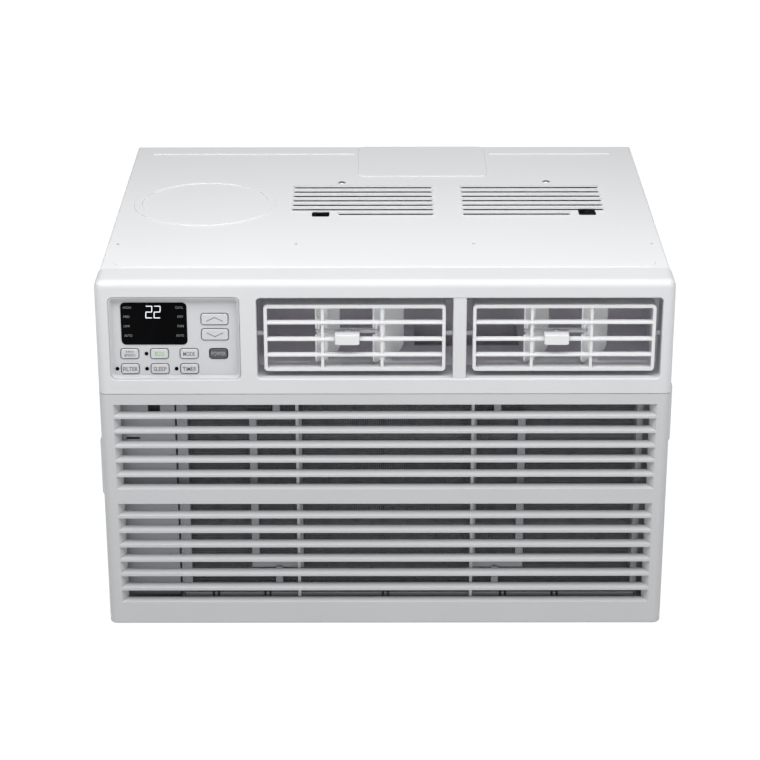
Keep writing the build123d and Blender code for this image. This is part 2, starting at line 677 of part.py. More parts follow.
def pan_head_screws():
    """Cross-headed screws: two sunk in the top sheet, six in the rear panel."""
    screws = []
    for x in REAR_SCREW_X:
        for z in REAR_SCREW_Z:
            head = rod("y", (x, z), (445.2, 447.0), 3.9)
            head = fillet(head.faces().sort_by(Axis.Y)[-1].edges(), 0.9)
            cross = block(around(x, 4), (446.2, 448), around(z, 0.9))
            cross = cross + block(around(x, 0.9), (446.2, 448), around(z, 4))
            screws.append(head - cross + rod("y", (x, z), (438.0, 445.3), 1.85))
    for x, y in TOP_SCREWS:
        head = rod("z", (x, y), (CABINET_TOP - SHEET - 0.6, CABINET_TOP + 0.4), 3.9)
        head = fillet(head.faces().sort_by(Axis.Z)[-1].edges(), 0.9)
        cross = block(around(x, 4), around(y, 0.9), (CABINET_TOP - 0.5, CABINET_TOP + 1))
        cross = cross + block(around(x, 0.9), around(y, 4), (CABINET_TOP - 0.5, CABINET_TOP + 1))
        screws.append(head - cross + rod("z", (x, y), (CABINET_TOP - 9, CABINET_TOP - 1), 2.0))
    return Compound(screws)


def top_brace():
    """Channel under the top sheet that the top screws hold, from the partition to the shroud."""
    z = (CABINET_TOP - 6.6, CABINET_TOP - SHEET - 0.6)
    brace = block((-70, 200), (308, 327), z) - block((-71, 201), (309.2, 325.8), (0, z[1] - 1.2))
    return brace - [rod("z", at, grow(z, 1), 2.0) for at in TOP_SCREWS]


def rear_panel():
    """Plate across the back with the condenser's window and two upright straps."""
    y = (444.0, 445.2)
    half = CABINET_HALF - SHEET - 0.3
    panel = slab((-half, half), y, (3.4, CABINET_TOP - SHEET - 0.4), 3)
    panel = panel - slab((-236, 248), grow(y, 1), (18, 348), 8)
    for x in (-75.0, 87.0):
        panel = panel + block(around(x, 12), y, (17, 349))
    holes = [rod("y", (x, z), grow(y, 1), 1.9) for x in REAR_SCREW_X for z in REAR_SCREW_Z]
    return panel - holes


def base_pan():
    """Pressed tray with a rim, two skids under it and raised pads for compressor and motor."""
    x = (-PAN_HALF, PAN_HALF)
    pan = plate(x, PAN_Y, (PAN_FLOOR[0], PAN_RIM_Z), 4)
    pan = pan - plate(grow(x, -1.2), grow(PAN_Y, -1.2), (PAN_FLOOR[1], PAN_RIM_Z + 1), 2.8)
    for skid in (-SKID_X, SKID_X):
        pan = pan + plate(around(skid, 34), (60, 425), (0, PAN_FLOOR[0] + 0.2), 8)
    pan = pan + plate((-150, 150), (100, 104), (PAN_FLOOR[1] - 0.2, 6), 1.9)
    pan = pan + plate((-60, 108), (184, 262), (PAN_FLOOR[1] - 0.2, 9.0), 8)
    for dx, dy in compressor_feet():
        at = (COMPRESSOR_AT[0] + dx, COMPRESSOR_AT[1] + dy)
        pan = pan + rod("z", at, (PAN_FLOOR[1] - 0.2, 6), 16)
        pan = pan - rod("z", at, (PAN_FLOOR[1], 7), 4.0)
    for skid in (-SKID_X, SKID_X):
        pan = pan - rod("z", (skid, SILL_HOLE_Y), (-1, 7), SILL_HOLE_R)
    pan = pan - rod("z", (150, 400), (-1, 7), 7.0)
    for x_screw, y, z in cabinet_screw_places():
        pan = pan - rod("x", (y, z), sorted((x_screw, x_screw * 0.97)), 1.9)
    return pan


def drain_plug():
    plug = rod("z", (150, 400), (PAN_FLOOR[0] - 1.4, PAN_FLOOR[1] + 2.5), 6.9)
    return plug + rod("z", (150, 400), (PAN_FLOOR[1] + 0.05, PAN_FLOOR[1] + 2.5), 10)


def cord_gland():
    """Bushing in the cabinet's side for the supply lead."""
    at = (60.0, 60.0)
    bush = rod("x", at, (-280.3, -270.0), 7.9)
    bush = bush + rod("x", at, (-280.3, -278.55), 10.5)
    nut = Pos(-274.6, *at) * Rot(0, 90, 0) * extrude(RegularPolygon(12, 6), amount=2.8, both=True)
    return bush + nut - rod("x", at, (-282, -269), 4.2)


# ---- air path ----
def discharge_duct():
    """Chute from the scroll's outlet forward to the louvers, split behind the post."""
    x = (-128.0, 270.0)
    z = (265.0, 359.0)
    front = PANEL_DEPTH + 0.3
    outer = ((front, z[0]), (168, z[0]), (168, 292), (80, z[1]), (front, z[1]))
    inner = (
        (front - 1, z[0] + 2),
        (166, z[0] + 2),
        (166, 290.9),
        (79.3, z[1] - 2),
        (front - 1, z[1] - 2),
    )
    duct = along_x(outer, x) - along_x(inner, grow(x, -2))
    duct = duct - block((AXIS_X + 6, AXIS_X + 112), (98, 162), (z[0] - 1, z[0] + 3))
    return duct + block((71, 74), (front, 62), grow(z, -1))


def scroll_outline(inset):
    """Casing outline: a circle off the wheel's axis with a straight outlet up its right side."""
    r = SCROLL_R - inset
    circle = Pos(AXIS_X + 6, AXIS_Z) * Circle(r)
    outlet_x = (AXIS_X + 3 + inset, AXIS_X + 6 + r)
    top = 264.9 + (1 if inset else 0)
    height = top - AXIS_Z
    outlet = Pos(sum(outlet_x) / 2, AXIS_Z + height / 2) * Rectangle(outlet_x[1] - outlet_x[0], height)
    return circle + outlet


def blower_scroll():
    y = SCROLL_Y
    casing = extrude(Plane.XZ.offset(-y[1]) * scroll_outline(0), amount=y[1] - y[0])
    hollow = extrude(Plane.XZ.offset(3 - y[1]) * scroll_outline(3), amount=y[1] - y[0] - 6)
    casing = casing - hollow
    casing = casing - rod("y", (AXIS_X, AXIS_Z), (y[0] - 1, y[0] + 4), 70)
    return casing - rod("y", (AXIS_X, AXIS_Z), (y[1] - 4, y[1] + 1), SHAFT_R + 3)


def blower_wheel():
    """Centrifugal wheel: back plate, hub, ring of forward-curved blades and front ring."""
    at = (AXIS_X, AXIS_Z)
    wheel = rod("y", at, (155, 158), WHEEL_R) + rod("y", at, (138, 158), 14)
    ring = rod("y", at, (102, 105), WHEEL_R) - rod("y", at, (101, 106), WHEEL_R - 16)
    blade_line = ThreePointArc((WHEEL_R - 15, 0), (WHEEL_R - 7, -3.5), (WHEEL_R - 1, 1.5))
    section = trace(blade_line, 1.2)
    blade = extrude(Plane.XZ.offset(-156) * section, amount=52)
    blades = [Pos(AXIS_X, 0, AXIS_Z) * Rot(0, 360 / 36 * i, 0) * blade for i in range(36)]
    return (wheel + ring + blades) - rod("y", at, (100, 160), SHAFT_R)


def condenser_fan():
    """Propeller with five twisted blades inside a slinger ring."""
    hub_y = (336.0, 364.0)
    at = (AXIS_X, AXIS_Z)
    hub = rod("y", at, hub_y, 30)
    hub = fillet(hub.faces().sort_by(Axis.Y)[-1].edges(), 4) - rod("y", at, (330, 370), SHAFT_R)
    ring = rod("y", at, (346, 354), FAN_R) - rod("y", at, (345, 355), FAN_R - 3)
    root = Plane(origin=(26, 0, 0), x_dir=(0, 0, 1), z_dir=(1, 0, 0))
    tip = Plane(origin=(FAN_R - 1.5, 0, 0), x_dir=(0, 0, 1), z_dir=(1, 0, 0))
    root_section = root * Rot(0, 0, -42) * Rectangle(34, 2.2)
    tip_section = tip * Rot(0, 0, -24) * Rectangle(66, 1.8)
    blade = loft([root_section, tip_section])
    blade = blade & rod("y", (0, 0), (-30, 30), FAN_R - 1)
    blades = [Pos(AXIS_X, 350, AXIS_Z) * Rot(0, 72 * i, 0) * blade for i in range(5)]
    return (hub + ring) + [b - rod("y", at, (300, 400), SHAFT_R + 4) for b in blades]


def fan_shaft():
    return rod("y", (AXIS_X, AXIS_Z), (138, 368), SHAFT_R)


def fan_motor():
    """Double-shaft motor: stator shell, two end bells and through bore."""
    at = (AXIS_X, AXIS_Z)
    body = rod("y", at, (204, 262), 62)
    bells = [fillet(rod("y", at, span, 56).edges().filter_by(GeomType.CIRCLE), 4)
             for span in ((195, 206), (260, 271))]
    noses = [rod("y", at, (194, 196), 20), rod("y", at, (270, 278), 17)]
    return body + bells + noses - rod("y", at, (190, 280), SHAFT_R + RUNNING)


def motor_bracket():
    """Upright plate on a foot, bolted to the base pan's pad."""
    x = (-38.0, 86.0)
    bracket = block(x, (191, 194), (9, 216)) + block(x, (194, 250), (9, 12))
    bracket = bracket - rod("y", (AXIS_X, AXIS_Z), (190, 195), 26)
    for edge in (x[0], x[1] - 3):
        gusset = along_x(((194, 12), (240, 12), (194, 80)), (edge, edge + 3))
        bracket = bracket + gusset
    return bracket


def fan_shroud():
    """Plate in front of the condenser with a collar round the propeller."""
    at = (AXIS_X, AXIS_Z)
    y = (SHROUD_Y, SHROUD_Y + 1.2)
    shroud = block((-250, 268), y, (6, 362))
    shroud = shroud + rod("y", at, (356, y[1]), FAN_R + 7)
    return shroud - rod("y", at, (350, y[1] + 1), FAN_R + 5)


def partition():
    """Bulkhead between the room side and the outdoor side."""
    wall = block((-276.5, 276.5), PARTITION_Y, (PAN_FLOOR[1], CABINET_TOP - SHEET - 0.5))
    wall = wall - rod("y", (AXIS_X, AXIS_Z), grow(PARTITION_Y, 1), 12)
    wall = wall - rod("y", (SUCTION_X, 255), grow(PARTITION_Y, 1), 8)
    notch = block((-278, -275), grow(PARTITION_Y, 1), (0, PAN_RIM_Z + 1))
    return wall - notch - block((275, 278), grow(PARTITION_Y, 1), (0, PAN_RIM_Z + 1))


# ---- coils ----
def coil_bends(x, face, rows, y_pair):
    """Return bends of a coil's tubes: half rings standing off the end plates."""
    bends = []
    for y in y_pair:
        for row in range(rows):
            for side in (0, 1):
                z = face + COIL_PITCH * (2 * row + side) + COIL_PITCH / 2
                foot = (x[side], y, z - COIL_PITCH / 2)
                start = Plane(origin=foot, x_dir=(0, 1, 0), z_dir=(1, 0, 0))
                axis = Axis((x[side], y, z), (0, 1, 0))
                turn = -180 if side else 180
                bends.append(revolve(start * Circle(TUBE_R), axis, turn))
    return bends


def coil_fins(x, y, z):
    return block(grow(x, -1.5), y, z)


def coil_end_plates():
    """End plates of both coils, which carry the tubes."""
    ends = []
    for x, y, z in COILS.values():
        for side, edge in ((1, x[0]), (-1, x[1])):
            span = sorted((edge, edge + side * 1.5))
            ends.append(block(span, grow(y, 2), grow(z, 2)))
    return Compound(ends)


def evaporator_tubes():
    bends = coil_bends(EVAPORATOR_X, EVAPORATOR_Z[0] + 10, 4, (59, 77))
    z = EVAPORATOR_Z[0] + 10 + COIL_PITCH * 7.6
    route = ((EVAPORATOR_X[0], 68, z), (SUCTION_X, 68, z), (SUCTION_X, 92, z))
    stub = bent_tube(route, 14, TUBE_R)
    return Compound(bends + [stub])


def condenser_tubes():
    bends = coil_bends(CONDENSER_X, CONDENSER_Z[0] + 12, 6, (395, 415))
    stub = bent_tube(((-238, 405, 330), (-262, 405, 330), (-262, 381, 330)), 14, TUBE_R)
    return Compound(bends + [stub])


# ---- compressor and lines ----
def compressor_feet():
    return [(70 * cos(radians(a)), 70 * sin(radians(a))) for a in (90, 210, 330)]


def compressor():
    """Hermetic shell with domed ends, foot plate, discharge stub and terminal cover."""
    x, y = COMPRESSOR_AT
    shell = rod("z", COMPRESSOR_AT, (36, 250), COMPRESSOR_R)
    ends = shell.edges().filter_by(GeomType.CIRCLE)
    shell = fillet(ends, 28)
    feet = [rod("z", (x + dx, y + dy), (28, 31), 15) for dx, dy in compressor_feet()]
    foot = rod("z", COMPRESSOR_AT, (28, 31), 66)
    skirt = rod("z", COMPRESSOR_AT, (30, 48), 44)
    shell = shell + feet + foot + skirt
    for dx, dy in compressor_feet():
        shell = shell - rod("z", (x + dx, y + dy), (20, 40), 6.0)
    stub = rod("z", COMPRESSOR_AT, (248, 256), 6.5)
    cover = fillet(rod("z", (x + 30, y + 10), (240, 262), 13).edges().filter_by(GeomType.CIRCLE), 3)
    return shell + stub + cover


def compressor_grommets():
    grommets = []
    for dx, dy in compressor_feet():
        at = (COMPRESSOR_AT[0] + dx, COMPRESSOR_AT[1] + dy)
        body = rod("z", at, (6, 28), 12) + rod("z", at, (27, 31), 5.9) + rod("z", at, (31, 34), 9)
        grommets.append(body - rod("z", at, (5, 40), 4.0))
    return Compound(grommets)


def compressor_studs():
    studs = []
    for dx, dy in compressor_feet():
        at = (COMPRESSOR_AT[0] + dx, COMPRESSOR_AT[1] + dy)
        nut = Pos(*at, 34) * extrude(RegularPolygon(7.5, 6), amount=6)
        studs.append(rod("z", at, (PAN_FLOOR[1], 44), 3.95) + nut)
    return Compound(studs)


def accumulator():
    shell = rod("z", ACCUMULATOR_AT, (60, 190), ACCUMULATOR_R)
    shell = fillet(shell.edges().filter_by(GeomType.CIRCLE), 14)
    return shell + rod("z", ACCUMULATOR_AT, (188, 200), 6.5) + rod("z", ACCUMULATOR_AT, (50, 62), 6.5)


def suction_tube():
    x, y = ACCUMULATOR_AT
    start_z = EVAPORATOR_Z[0] + 10 + COIL_PITCH * 7.6
    points = (
        (SUCTION_X, 92, start_z),
        (SUCTION_X, 132, start_z),
        (SUCTION_X, 132, 255),
        (SUCTION_X, y, 255),
        (x, y, 255),
        (x, y, 200),
    )
    return bent_tube(points, 12, TUBE_R)


def discharge_tube():
    x, y = COMPRESSOR_AT
    points = ((x, y, 256), (x, y, 330), (-262, y, 330), (-262, 381, 330))
    return bent_tube(points, 22, TUBE_R - 0.75)


def capillary_tube():
    rings = [Pos(-150, 340, 120 + 3.4 * i) * Torus(24, 1.5) for i in range(4)]
    return Compound(rings)


def filter_drier():
    drier = rod("z", (-240, 340), (120, 190), 9.5)
    return fillet(drier.edges().filter_by(GeomType.CIRCLE), 4)


# ---- electrical ----
def control_box():
    """Sheet box behind the control panel with its open side to the front."""
    x = (-268.0, -134.0)
    box = block(x, (46, 166), (262, 357))
    return box - block(grow(x, -1.2), (44, 164.8), (263.2, 355.8))


def main_board():
    """Power board with its transformer."""
    board = block((-262, -142), (58, 158), (270, 271.6))
    board = board + block((-250, -212), (80, 118), (271, 306))
    return board + block((-257, -205), (86, 112), (278, 300))


def run_capacitor():
    can = rod("y", (-160, 305), (70, 135), 21)
    return fillet(can.edges().filter_by(GeomType.CIRCLE), 2)


def build():
    os.makedirs("parts", exist_ok=True)
    single = [
        front_panel, intake_grille, filter_frame, filter_mesh, front_frame, grille_hinge_pins,
        control_fascia, display_window, indicator_lenses, control_pcb, cabinet, cabinet_screws,
        pan_head_screws, top_brace, rear_panel, base_pan, drain_plug, cord_gland,
        discharge_duct, blower_scroll, blower_wheel, condenser_fan, fan_shaft, fan_motor,
        motor_bracket, fan_shroud, partition, evaporator_tubes, condenser_tubes,
        coil_end_plates, compressor, compressor_grommets, compressor_studs, accumulator,
        suction_tube, discharge_tube, capillary_tube, filter_drier, control_box, main_board,
        run_capacitor,
    ]
    for make in single:
        write(make.__name__, make())
    for name in KEYS:
        write(name, button(name))
    for side, x in CARTRIDGE_X.items():
        centre = sum(x) / 2
        write(f"louver_frame_{side}", louver_frame(x))
        for letter, offset in (("a", -VANE_SPACING / 2), ("b", VANE_SPACING / 2)):
            key = f"{side}_{letter}"
            write(f"vane_{key}", vane(centre + offset, VANE_BEHIND[key]))
        write(f"vane_link_{side}", vane_link(centre))
    for name, spans in COILS.items():
        write(f"{name}_fins", coil_fins(*spans))


build()
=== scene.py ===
from math import cos, pi, radians, sin

import bmesh
import bpy
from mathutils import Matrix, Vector


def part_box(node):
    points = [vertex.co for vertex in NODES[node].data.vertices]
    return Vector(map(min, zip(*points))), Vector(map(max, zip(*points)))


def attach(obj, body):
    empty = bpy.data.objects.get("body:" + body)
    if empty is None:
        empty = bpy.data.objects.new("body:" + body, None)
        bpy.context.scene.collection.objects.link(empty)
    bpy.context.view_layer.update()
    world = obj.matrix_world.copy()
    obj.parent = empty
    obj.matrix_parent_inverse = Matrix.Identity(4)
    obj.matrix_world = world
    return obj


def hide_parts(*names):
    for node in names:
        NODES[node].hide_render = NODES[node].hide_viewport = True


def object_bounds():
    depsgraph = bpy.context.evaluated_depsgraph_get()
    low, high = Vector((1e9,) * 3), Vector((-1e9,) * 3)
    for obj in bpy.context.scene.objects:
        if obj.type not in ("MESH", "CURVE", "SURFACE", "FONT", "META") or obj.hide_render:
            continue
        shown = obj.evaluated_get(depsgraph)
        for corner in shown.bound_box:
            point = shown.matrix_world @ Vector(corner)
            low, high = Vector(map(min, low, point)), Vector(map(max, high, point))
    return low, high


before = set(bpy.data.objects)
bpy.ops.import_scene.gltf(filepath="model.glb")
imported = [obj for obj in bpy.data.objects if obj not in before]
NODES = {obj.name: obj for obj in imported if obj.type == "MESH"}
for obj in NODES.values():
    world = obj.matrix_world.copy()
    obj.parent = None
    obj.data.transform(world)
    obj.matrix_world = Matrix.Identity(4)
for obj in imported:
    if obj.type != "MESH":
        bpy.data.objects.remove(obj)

MM = 0.001

for spare in ("Cube", "Light", "Camera"):
    if spare in bpy.data.objects:
        bpy.data.objects.remove(bpy.data.objects[spare])
CAD_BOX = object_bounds()
FRONT_Y = CAD_BOX[0].y


# ---- camera, light and floor ----
# Focal length and sensor width in mm, distances in metres, angles in degrees.
LENS = 111.46
SENSOR_WIDTH = 36.0
CAMERA_SHIFT = -0.0038
CAMERA_AHEAD = 2.1179
CAMERA_HEIGHT = 1.1492
CAMERA_TILT = 22.55
CAMERA_ROLL = 0.07


def add_camera():
    data = bpy.data.cameras.new("camera")
    data.lens = LENS
    data.sensor_width = SENSOR_WIDTH
    camera = bpy.data.objects.new("camera", data)
    camera.location = (CAMERA_SHIFT, FRONT_Y - CAMERA_AHEAD, CAMERA_HEIGHT)
    camera.rotation_euler = (radians(90 - CAMERA_TILT), radians(CAMERA_ROLL), 0)
    bpy.context.collection.objects.link(camera)
    bpy.context.scene.camera = camera


def add_softbox(name, at, target, size, watts):
    """Rectangular light that faces its target."""
    data = bpy.data.lights.new(name, "AREA")
    data.shape = "RECTANGLE"
    data.size, data.size_y = size
    data.energy = watts
    light = bpy.data.objects.new(name, data)
    light.location = at
    light.rotation_euler = (Vector(target) - Vector(at)).to_track_quat("-Z", "Y").to_euler()
    bpy.context.collection.objects.link(light)


def add_world(strength):
    world = bpy.data.worlds.new("studio")
    world.use_nodes = True
    backdrop = world.node_tree.nodes["Background"]
    backdrop.inputs["Color"].default_value = (1, 1, 1, 1)
    backdrop.inputs["Strength"].default_value = strength
    bpy.context.scene.world = world


FLOOR_HALF = 40.0
FLOOR_DROP = 0.0005
FLOOR_GREY = 0.06


def add_floor(glow):
    """White table top, lit from within so that it stays white under the soft light."""
    half = FLOOR_HALF
    corners = [(-half, -half, 0), (half, -half, 0), (half, half, 0), (-half, half, 0)]
    mesh = bpy.data.meshes.new("floor")
    mesh.from_pydata(corners, [], [(0, 1, 2, 3)])
    floor = bpy.data.objects.new("floor", mesh)
    floor.location.z = -FLOOR_DROP
    material = bpy.data.materials.new("floor_white")
    material.use_nodes = True
    shader = material.node_tree.nodes["Principled BSDF"]
    shader.inputs["Base Color"].default_value = (FLOOR_GREY, FLOOR_GREY, FLOOR_GREY, 1)
    shader.inputs["Roughness"].default_value = 0.9
    shader.inputs["Specular IOR Level"].default_value = 0.1
    shader.inputs["Emission Color"].default_value = (1, 1, 1, 1)
    shader.inputs["Emission Strength"].default_value = glow
    mesh.materials.append(material)
    bpy.context.collection.objects.link(floor)


# ---- materials ----
class Shade:
    """A node material with helpers that wire procedural textures to its shader."""

    def __init__(self, name):
        self.material = bpy.data.materials.new(name)
        self.material.use_nodes = True
        self.tree = self.material.node_tree
        self.shader = self.tree.nodes["Principled BSDF"]
        self.place = self.tree.nodes.new("ShaderNodeTexCoord").outputs["Object"]

    def put(self, **values):
        """Sets plain values on the shader; an underscore stands for a space."""
        for socket, value in values.items():
            self.shader.inputs[socket.replace("_", " ")].default_value = value

    def node(self, kind, **links):
        """New node with its inputs linked, or set where a plain value is given."""
        made = self.tree.nodes.new(kind)
        for socket, value in links.items():
            entry = made.inputs[socket.replace("_", " ")]
            if isinstance(value, bpy.types.NodeSocket):
                self.tree.links.new(value, entry)
            else:
                entry.default_value = value
        return made

    def stretch(self, scale):
        """The object's own coordinates, scaled along x, y and z."""
        return self.node("ShaderNodeMapping", Vector=self.place, Scale=scale).outputs["Vector"]

    def noise(self, scale, detail=3.0, vector=None):
        """Noise from 0 to 1; the scale is in blotches a metre."""
        made = self.node("ShaderNodeTexNoise", Vector=vector or self.place, Scale=scale, Detail=detail)
        return made.outputs["Fac"]

    def blend(self, factor, low, high, span=(0.3, 0.7)):
        """Colour ramp from low to high colour."""
        ramp = self.node("ShaderNodeValToRGB", Fac=factor)
        ends = ramp.color_ramp.elements
        ends[0].position, ends[1].position = span
        ends[0].color = (*low, 1)
        ends[1].color = (*high, 1)
        return ramp.outputs["Color"]

    def range(self, factor, low, high):
        """The factor spread from low to high."""
        made = self.node("ShaderNodeMapRange", Value=factor, To_Min=low, To_Max=high)
        return made.outputs["Result"]

    def wire(self, output, socket):
        self.tree.links.new(output, self.shader.inputs[socket])

    def bump(self, height, strength, distance):
        """Fine relief, as deep as the distance in metres."""
        made = self.node("ShaderNodeBump", Height=height, Strength=strength, Distance=distance)
        self.wire(made.outputs["Normal"], "Normal")


def tint(colour, factor):
    """The colour made lighter or darker."""
    return tuple(min(1.0, part * factor) for part in colour)


def moulded(name, colour, roughness=0.42, grain=0.35):
    """Injection-moulded plastic: spark-eroded grain, faint flow mottling."""
    shade = Shade(name)
    cloud = shade.noise(9.0, 4.0)
    shade.wire(shade.blend(cloud, tint(colour, 0.985), tint(colour, 1.015)), "Base Color")
    texture = shade.noise(2600.0, 2.0)
    shade.wire(shade.range(texture, roughness - 0.06, roughness + 0.06), "Roughness")
    shade.bump(texture, grain, 0.00006)
    shade.put(Specular_IOR_Level=0.45)
    return shade.material


def powder_coat(name, colour):
    """Painted sheet: orange-peel waviness under a fine speckle."""
    shade = Shade(name)
    cloud = shade.noise(5.0, 3.0)
    shade.wire(shade.blend(cloud, tint(colour, 0.985), tint(colour, 1.01)), "Base Color")
    peel = shade.noise(420.0, 3.0)
    shade.wire(shade.range(peel, 0.33, 0.45), "Roughness")
    shade.bump(peel, 0.22, 0.00012)
    return shade.material


def zinc_sheet(name):
    """Galvanised sheet with crystal spangle."""
    shade = Shade(name)
    cells = shade.node("ShaderNodeTexVoronoi", Vector=shade.place, Scale=140.0)
    grey = shade.node("ShaderNodeSeparateColor", Color=cells.outputs["Color"]).outputs["Red"]
    shade.wire(shade.blend(grey, (0.48, 0.49, 0.51), (0.70, 0.71, 0.73), (0.0, 1.0)), "Base Color")
    shade.wire(shade.range(grey, 0.32, 0.52), "Roughness")
    shade.bump(shade.noise(300.0, 4.0), 0.1, 0.0001)
    shade.put(Metallic=0.9)
    return shade.material


def drawn_metal(name, colour, direction, roughness=0.28):
    """Metal with fine draw lines along one direction."""
    shade = Shade(name)
    lines = shade.noise(160.0, 5.0, shade.stretch(direction))
    shade.wire(shade.blend(lines, tint(colour, 0.82), tint(colour, 1.08)), "Base Color")
    shade.wire(shade.range(lines, roughness - 0.08, roughness + 0.12), "Roughness")
    shade.bump(lines, 0.12, 0.00008)
    shade.put(Metallic=1.0)
    return shade.material


def rubber(name):
    """Black rubber with a film of dust."""
    shade = Shade(name)
    colour = (0.02, 0.02, 0.021)
    dust = shade.noise(60.0, 6.0)
    shade.wire(shade.blend(dust, colour, tint(colour, 1.9)), "Base Color")
    shade.wire(shade.range(dust, 0.62, 0.85), "Roughness")
    shade.bump(shade.noise(1500.0), 0.3, 0.0001)
    return shade.material


def enamel(name, colour):
    """Thick black enamel on steel, slightly wavy."""
    shade = Shade(name)
    wave = shade.noise(45.0, 2.0)
    shade.wire(shade.blend(wave, colour, tint(colour, 1.5)), "Base Color")
    shade.wire(shade.range(wave, 0.22, 0.36), "Roughness")
    shade.bump(wave, 0.15, 0.0006)
    shade.put(Coat_Weight=0.3)
    return shade.material


def circuit_board(name):
    """Green solder mask over a faint pattern of tracks."""
    shade = Shade(name)
    tracks = shade.node("ShaderNodeTexBrick", Vector=shade.place, Scale=260.0)
    tracks.inputs["Color1"].default_value = (0.012, 0.10, 0.045, 1)
    tracks.inputs["Color2"].default_value = (0.010, 0.075, 0.035, 1)
    tracks.inputs["Mortar"].default_value = (0.03, 0.19, 0.08, 1)
    shade.wire(tracks.outputs["Color"], "Base Color")
    shade.wire(shade.range(shade.noise(800.0), 0.25, 0.4), "Roughness")
    shade.bump(tracks.outputs["Fac"], 0.2, 0.00005)
    return shade.material


def glossy_lens(name):
    """Smoked display lens, polished, with the faintest haze."""
    shade = Shade(name)
    haze = shade.noise(30.0, 2.0)
    shade.wire(shade.blend(haze, (0.0015, 0.0015, 0.0018), (0.0025, 0.0025, 0.003)), "Base Color")
    shade.wire(shade.range(haze, 0.10, 0.16), "Roughness")
    shade.put(Specular_IOR_Level=0.02)
    return shade.material


def print_ink(name, colour, glow=0.0):
    """Screen-printed ink or a lit legend, very slightly uneven."""
    shade = Shade(name)
    grain = shade.noise(3000.0, 2.0)
    shade.wire(shade.blend(grain, tint(colour, 0.9), tint(colour, 1.08)), "Base Color")
    shade.wire(shade.range(grain, 0.45, 0.6), "Roughness")
    if glow:
        shade.put(Emission_Color=(*colour, 1), Emission_Strength=glow)
    return shade.material


def fin_metal(name, colour):
    """Thin aluminium sheet, dulled in patches."""
    shade = Shade(name)
    wear = shade.noise(90.0, 5.0)
    shade.wire(shade.blend(wear, tint(colour, 0.75), tint(colour, 1.05)), "Base Color")
    shade.wire(shade.range(wear, 0.35, 0.6), "Roughness")
    shade.bump(shade.noise(600.0), 0.2, 0.0001)
    shade.put(Metallic=0.8)
    return shade.material


def woven_thread(name, colour):
    """Spun plastic thread, uneven along its twist."""
    shade = Shade(name)
    twist = shade.noise(4000.0, 2.0)
    shade.wire(shade.blend(twist, tint(colour, 0.8), tint(colour, 1.25)), "Base Color")
    shade.wire(shade.range(twist, 0.55, 0.8), "Roughness")
    return shade.material


def dress_nodes():
    """Gives every carried-over CAD node its material."""
    white = (0.615, 0.62, 0.63)
    looks = {
        moulded("panel_plastic", (0.535, 0.54, 0.553)): ["front_panel"],
        # The grille takes a darker copy of the panel's grey: painted shade for the dimmer lower front.
        moulded("grille_plastic_painted_shade", (0.455, 0.46, 0.47)): ["intake_grille"],
        moulded("louver_plastic", (0.60, 0.605, 0.615), 0.38): [
            "louver_frame_left", "louver_frame_right", "vane_link_left", "vane_link_right"],
        moulded("vane_plastic", (0.93, 0.935, 0.94), 0.38): [
            "vane_left_a", "vane_left_b", "vane_right_a", "vane_right_b"],
        moulded("fascia_plastic", (0.475, 0.48, 0.493)): ["control_fascia"],
        moulded("key_plastic", (0.475, 0.48, 0.495), 0.36, 0.2): [
            n for n in NODES if n.startswith("button_") and n != "button_power"],
        moulded("power_key_plastic", (0.055, 0.056, 0.064), 0.4, 0.2): ["button_power"],
        glossy_lens("display_lens"): ["display_window", "indicator_lenses"],
        moulded("frame_plastic", (0.365, 0.375, 0.395)): ["front_frame", "filter_frame"],
        moulded("duct_foam", (0.86, 0.84, 0.89), 0.6): ["discharge_duct", "blower_scroll"],
        moulded("fan_plastic", (0.10, 0.10, 0.11), 0.55): ["blower_wheel", "condenser_fan"],
        powder_coat("cabinet_paint", white): ["cabinet", "rear_panel"],
        zinc_sheet("zinc_sheet"): ["base_pan", "partition", "fan_shroud", "motor_bracket",
                                   "coil_end_plates", "control_box", "top_brace"],
        drawn_metal("screw_steel", (0.60, 0.61, 0.63), (1, 1, 8)): [
            "pan_head_screws", "cabinet_screws", "grille_hinge_pins", "compressor_studs", "fan_shaft"],
        fin_metal("fin_aluminium", (0.70, 0.71, 0.72)): ["evaporator_fins", "condenser_fins"],
        drawn_metal("copper_tube", (0.72, 0.36, 0.22), (6, 1, 1), 0.3): [
            "condenser_tubes", "suction_tube", "discharge_tube", "capillary_tube", "filter_drier"],
        # The evaporator's tubes are painted near black rather than copper: painted shade for the coil
        # deep inside the unit.
        drawn_metal("evaporator_tube_painted_shade", (0.10, 0.085, 0.08), (6, 1, 1), 0.4): ["evaporator_tubes"],
        enamel("black_enamel", (0.012, 0.012, 0.013)): ["compressor", "accumulator", "fan_motor"],
        rubber("black_rubber"): ["compressor_grommets", "drain_plug", "cord_gland"],
        circuit_board("solder_mask"): ["control_pcb", "main_board"],
        drawn_metal("capacitor_can", (0.62, 0.63, 0.64), (1, 6, 1)): ["run_capacitor"],
        woven_thread("screen_cloth", (0.28, 0.285, 0.305)): ["filter_mesh"],
    }
    for material, names in looks.items():
        for name in names:
            slots = NODES[name].data.materials
            for index in range(max(1, len(slots))):
                if index < len(slots):
                    slots[index] = material
                else:
                    slots.append(material)


# ---- pieces ----
def add_piece(name, vertices, faces, material, body):
    """Mesh piece in metres that rides on a body."""
    mesh = bpy.data.meshes.new(name)
    mesh.from_pydata(vertices, [], faces)
    mesh.validate()
    mesh.materials.append(material)
    piece = bpy.data.objects.new(name, mesh)
    bpy.context.collection.objects.link(piece)
    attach(piece, body)
    return piece


def part_centre(node):
    """Middle of a node's box."""
    low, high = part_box(node)
    return (Vector(low) + Vector(high)) / 2


